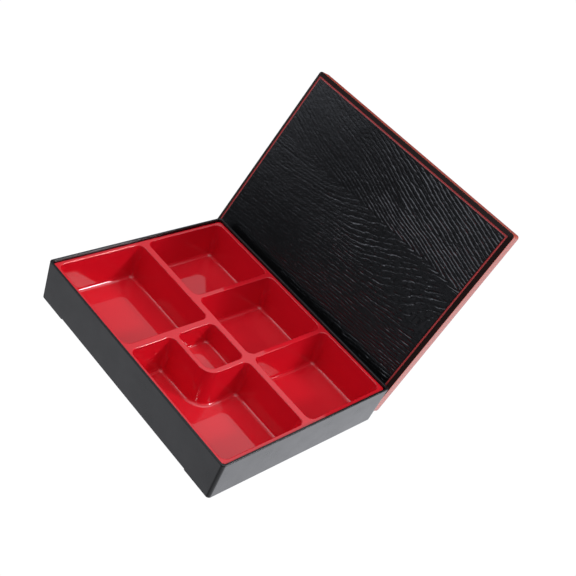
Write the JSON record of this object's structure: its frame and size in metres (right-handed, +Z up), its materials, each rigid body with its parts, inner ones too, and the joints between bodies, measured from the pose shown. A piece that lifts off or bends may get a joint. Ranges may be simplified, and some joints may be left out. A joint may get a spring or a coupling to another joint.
{
  "type": "bento lunch box",
  "caption": "Shallow rectangular lacquered bento box with a lift-out divided tray and a covering lid with an embossed wood-grain panel.",
  "frame": {"origin": "middle of the outer box's base, on the surface that it stands on", "axes": "+X along the box's long side, -Y towards the front of the box, +Y towards the lid that stands behind it, +Z up"},
  "size_m": [0.2829, 0.3128, 0.2137],
  "materials": {
    "black_lacquer": "satin black lacquer",
    "red_lacquer": "polished red lacquer",
    "lid_lacquer": "black lacquer over embossed wood grain, vermilion skirt and line"
  },
  "bodies": {
    "box": {"outer_box": "black_lacquer"},
    "tray": {"compartment_tray": "red_lacquer"},
    "lid": {"lid": "lid_lacquer"}
  },
  "joints": [
    {"name": "tray_lift", "type": "slide", "parent": "box", "child": "tray", "axis": [0, 0, 1], "range_m": [0, 0.06]},
    {"name": "lid_lift", "type": "slide", "parent": "box", "child": "lid", "axis": [0, 0.3704, 0.9289], "range_m": [0, 0.1]}
  ]
}
